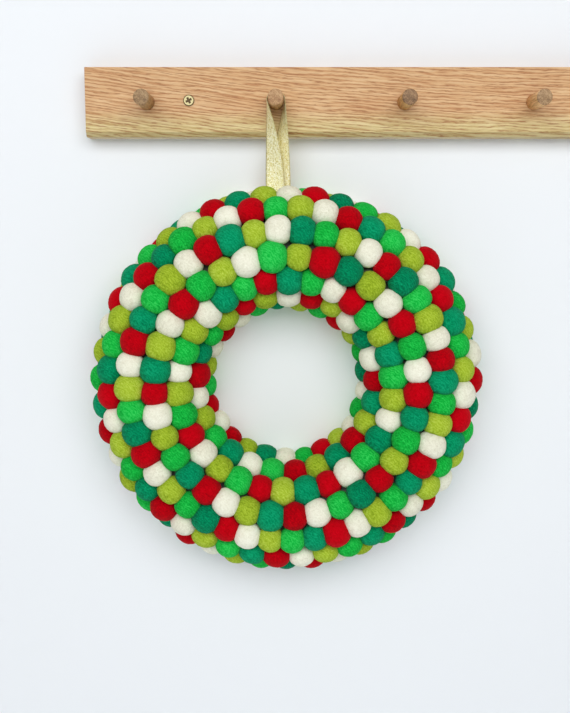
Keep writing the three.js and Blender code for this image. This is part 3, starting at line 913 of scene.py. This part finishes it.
def dowel_wood(name, side_tones, end_tones):
    """Bare hardwood dowel, browner than the board, with lines along it and a duller, speckled cut end."""
    material, shader = start_material(f"dowel_wood_{name}", Roughness=0.6, IOR=1.5)
    axes = split(material, object_place(material))
    # Wrapped at half a pitch each way, X counts from the peg's own axis.
    half_pitch = PEG_PITCH * MM / 2
    across = calculate(material, "WRAP", axes["X"], half_pitch, -half_pitch)
    lengthwise = calculate(material, "MULTIPLY", axes["Y"], GRAIN_SQUEEZE)
    own_place = add_node(
        material,
        "ShaderNodeCombineXYZ",
        {"X": across, "Y": lengthwise, "Z": axes["Z"]},
    ).outputs["Vector"]
    bands = noise(material, own_place, size=GRAIN_BAND, detail=1.0)["Fac"]
    fibres = noise(material, own_place, size=GRAIN_FIBRE, detail=3.0)["Fac"]
    grain = blended(material, FIBRE_SHARE, bands, fibres)
    side = ramp_color(material, grain, list(zip(GRAIN_STOPS, side_tones)))
    end = ramp_color(material, grain, list(zip(GRAIN_STOPS, end_tones)))
    facing = add_node(material, "ShaderNodeNewGeometry").outputs["True Normal"]
    cut = calculate(material, "LESS_THAN", split(material, facing)["Y"], END_FACING)
    color = blended_color(material, cut, side, end)
    return finish_material(material, shader, color, grain, strength=0.3, depth=0.2)


for name, (low, high) in zip(PEG_NAMES, peg_boxes):
    make_piece(f"round_{name}", round_peg(low, high), dowel_wood(name, *DOWELS[name]), [name])
print(len(peg_boxes), "pegs")

# %% [markdown]
# ## Screws
#
# Each screw is brass with a domed head and a cross recess. The head is a low cone with a bevelled rim. Four
# cuts across each arm of the cross divide its flat top, and the faces of the cross are then pushed in.

# %% Screw mesh
HEAD_SIDES = 32
RECESS_HALF_WIDTH = 0.9
RECESS_HALF_LENGTH = 2.5
RECESS_DEPTH = 0.6
RIM_ROUND = 0.7
RECESS_TURNS = {"screw_left": 28, "screw_right": 71}


def cross_head(low, high, turned):
    """A screw's head with its cross recess, turned that many degrees by the last twist of the driver."""
    bm = rod_to_wall(low, high, HEAD_SIDES, offset=RIM_ROUND, segments=4, profile=0.6)
    middle = (low + high) / 2
    a = math.radians(turned)
    arms = (Vector((math.cos(a), 0, math.sin(a))), Vector((-math.sin(a), 0, math.cos(a))))
    for axis in arms:
        for cut in (-RECESS_HALF_LENGTH, -RECESS_HALF_WIDTH, RECESS_HALF_WIDTH, RECESS_HALF_LENGTH):
            top = [face for face in bm.faces if lies_at(face, low.y)]
            sides = {edge for face in top for edge in face.edges}
            corners = {vertex for face in top for vertex in face.verts}
            geometry = [*top, *sides, *corners]
            bmesh.ops.bisect_plane(bm, geom=geometry, plane_co=middle + axis * cut, plane_no=axis)
    cross = []
    for face in bm.faces:
        offset = face.calc_center_median() - middle
        reach = [abs(offset.dot(axis)) for axis in arms]
        in_cross = min(reach) < RECESS_HALF_WIDTH and max(reach) < RECESS_HALF_LENGTH
        if in_cross and lies_at(face, low.y):
            cross.append(face)
    walls = bmesh.ops.extrude_face_region(bm, geom=cross)
    floor = [element for element in walls["geom"] if isinstance(element, bmesh.types.BMVert)]
    bmesh.ops.translate(bm, vec=(0, RECESS_DEPTH, 0), verts=floor)
    bmesh.ops.delete(bm, geom=cross, context="FACES")
    return bm


# %% Brass material
TURNING_MARK = 0.8
RECESS_SHADE_AND_OXIDE_FROM = 0.15
RECESS_SHADE_AND_OXIDE_TO = 0.5
RIM_SHADE_FROM = 0.8
RIM_SHADE_TO = 0.4


def brass():
    """Brass screw: yellow metal, a little dull, with fine turning marks. Oxide and painted shade darken its
    recess, painted shade its rim.
    """
    material, shader = start_material("turned_brass", Roughness=0.45, Metallic=0.3)
    place = object_place(material)
    axes = split(material, place)
    marks = noise(material, place, size=TURNING_MARK, detail=3.0)["Fac"]
    metal = ramp_color(material, marks, [(0.3, "#bdb07c"), (0.7, "#dacd9a")])
    low, high = box_in_mm("screw_right")
    middle = (low + high) / 2
    radius = (high.x - low.x) / 2
    # Painted shade and oxide: the recess turns dark brown with its depth.
    recessed = ranged(material, axes["Y"], (low.y + RECESS_SHADE_AND_OXIDE_FROM) * MM, (low.y + RECESS_SHADE_AND_OXIDE_TO) * MM)
    # The screws sit as far left as right of the middle, so one distance serves both.
    sideways = calculate(material, "ABSOLUTE", axes["X"])
    on_head = add_node(material, "ShaderNodeCombineXYZ", {"X": sideways, "Z": axes["Z"]}).outputs["Vector"]
    off_axis = add_node(
        material,
        "ShaderNodeVectorMath",
        {0: on_head, 1: (middle.x * MM, 0.0, middle.z * MM)},
        operation="DISTANCE",
    ).outputs["Value"]
    # Painted shade: a dark ring round the outer edge of the head.
    rim = ranged(material, off_axis, (radius - RIM_SHADE_FROM) * MM, (radius - RIM_SHADE_TO) * MM)
    # The recess and the rim are mixed towards dark brown: painted shade, and in the recess the brass's oxide
    # as well.
    shade_and_oxide = calculate(material, "MAXIMUM", recessed, rim)
    color = blended_color(material, shade_and_oxide, metal, linear("#503a0c"))
    join(material, color, shader.inputs["Base Color"])
    return material


screw_brass = brass()
for name in ("screw_left", "screw_right"):
    head = cross_head(*box_in_mm(name), RECESS_TURNS[name])
    make_piece(f"cross_{name}", head, screw_brass, [name], smooth=False)

# %% [markdown]
# ## Wall, floor, light and camera
#
# The object hangs on a pale wall above a pale floor. The wall shows only its front, so that views from
# behind see the back of the wreath. A lamp as broad as a window, in front and a little above, and a pale
# sky give the photo's gentle shadows under the rail and round the wreath. The wall casts no shadow, so a
# second lamp behind it lights the views from the back, and it hardly shows in front.

# %% Wall and floor
# The room and its lamps are in metres.
ROOM = 6.0
FLOOR_DROP = 0.75
WALL_BEHIND = 0.0006


def stage_plane(name, matrix, material):
    """A large square that isn't part of the object."""
    bm = bmesh.new()
    bmesh.ops.create_grid(bm, x_segments=1, y_segments=1, size=ROOM / 2, matrix=matrix)
    plane = object_from(name, bm, material)
    return plane


def pale_paint():
    """Matt wall paint that shows only from the room's side."""
    material, shader = start_material("pale_paint", Roughness=0.9, Base_Color=linear("#ebeef1"))
    facing = add_node(material, "ShaderNodeNewGeometry").outputs["Backfacing"]
    clear = add_node(material, "ShaderNodeBsdfTransparent").outputs["BSDF"]
    mix = add_node(material, "ShaderNodeMixShader", {0: facing, 1: shader.outputs["BSDF"], 2: clear})
    join(material, mix.outputs["Shader"], material.node_tree.nodes["Material Output"].inputs["Surface"])
    return material


paint = pale_paint()
facing_room = Matrix.Translation((0, WALL_BEHIND, 0)) @ Matrix.Rotation(math.radians(90), 4, "X")
wall = stage_plane("wall", facing_room, paint)
wall.visible_shadow = False
stage_plane("floor", Matrix.Translation((0, 0, -FLOOR_DROP)), paint)

# %% Light
SKY_STRENGTH = 0.32

sky = bpy.data.worlds.new("pale_sky")
bpy.context.scene.world = sky
sky.use_nodes = True
sky.node_tree.nodes["Background"].inputs["Color"].default_value = linear("#f7f8fa")
sky.node_tree.nodes["Background"].inputs["Strength"].default_value = SKY_STRENGTH


def soft_lamp(name, place, width, height, power):
    """A broad lamp that faces the wreath."""
    light = bpy.data.lights.new(name, "AREA")
    light.shape = "RECTANGLE"
    light.size = width
    light.size_y = height
    light.energy = power
    lamp = bpy.data.objects.new(name, light)
    lamp.location = place
    lamp.rotation_euler = (WREATH_CENTRE * MM - Vector(place)).to_track_quat("-Z", "Y").to_euler()
    bpy.context.scene.collection.objects.link(lamp)


soft_lamp("window", place=(-0.1, -1.5, 0.52), width=2.3, height=1.0, power=24.8)
soft_lamp("back light", place=(-0.1, 1.6, 0.0), width=1.0, height=1.0, power=14)

# %% Camera
PHOTO_HEIGHT = 713
FOCAL_PIXELS = 980
EYE = Vector((-92.95, -797.2, -93.2)) * MM
EYE_DOWN = 7.73

lens = bpy.data.cameras.new("photo camera")
lens.sensor_fit = "AUTO"
lens.sensor_width = 36
lens.lens = FOCAL_PIXELS * lens.sensor_width / PHOTO_HEIGHT
camera = bpy.data.objects.new("photo camera", lens)
camera.location = EYE
camera.rotation_euler = (math.radians(90 - EYE_DOWN), 0, 0)
bpy.context.scene.collection.objects.link(camera)
bpy.context.scene.camera = camera
bpy.context.scene.view_settings.view_transform = "Standard"
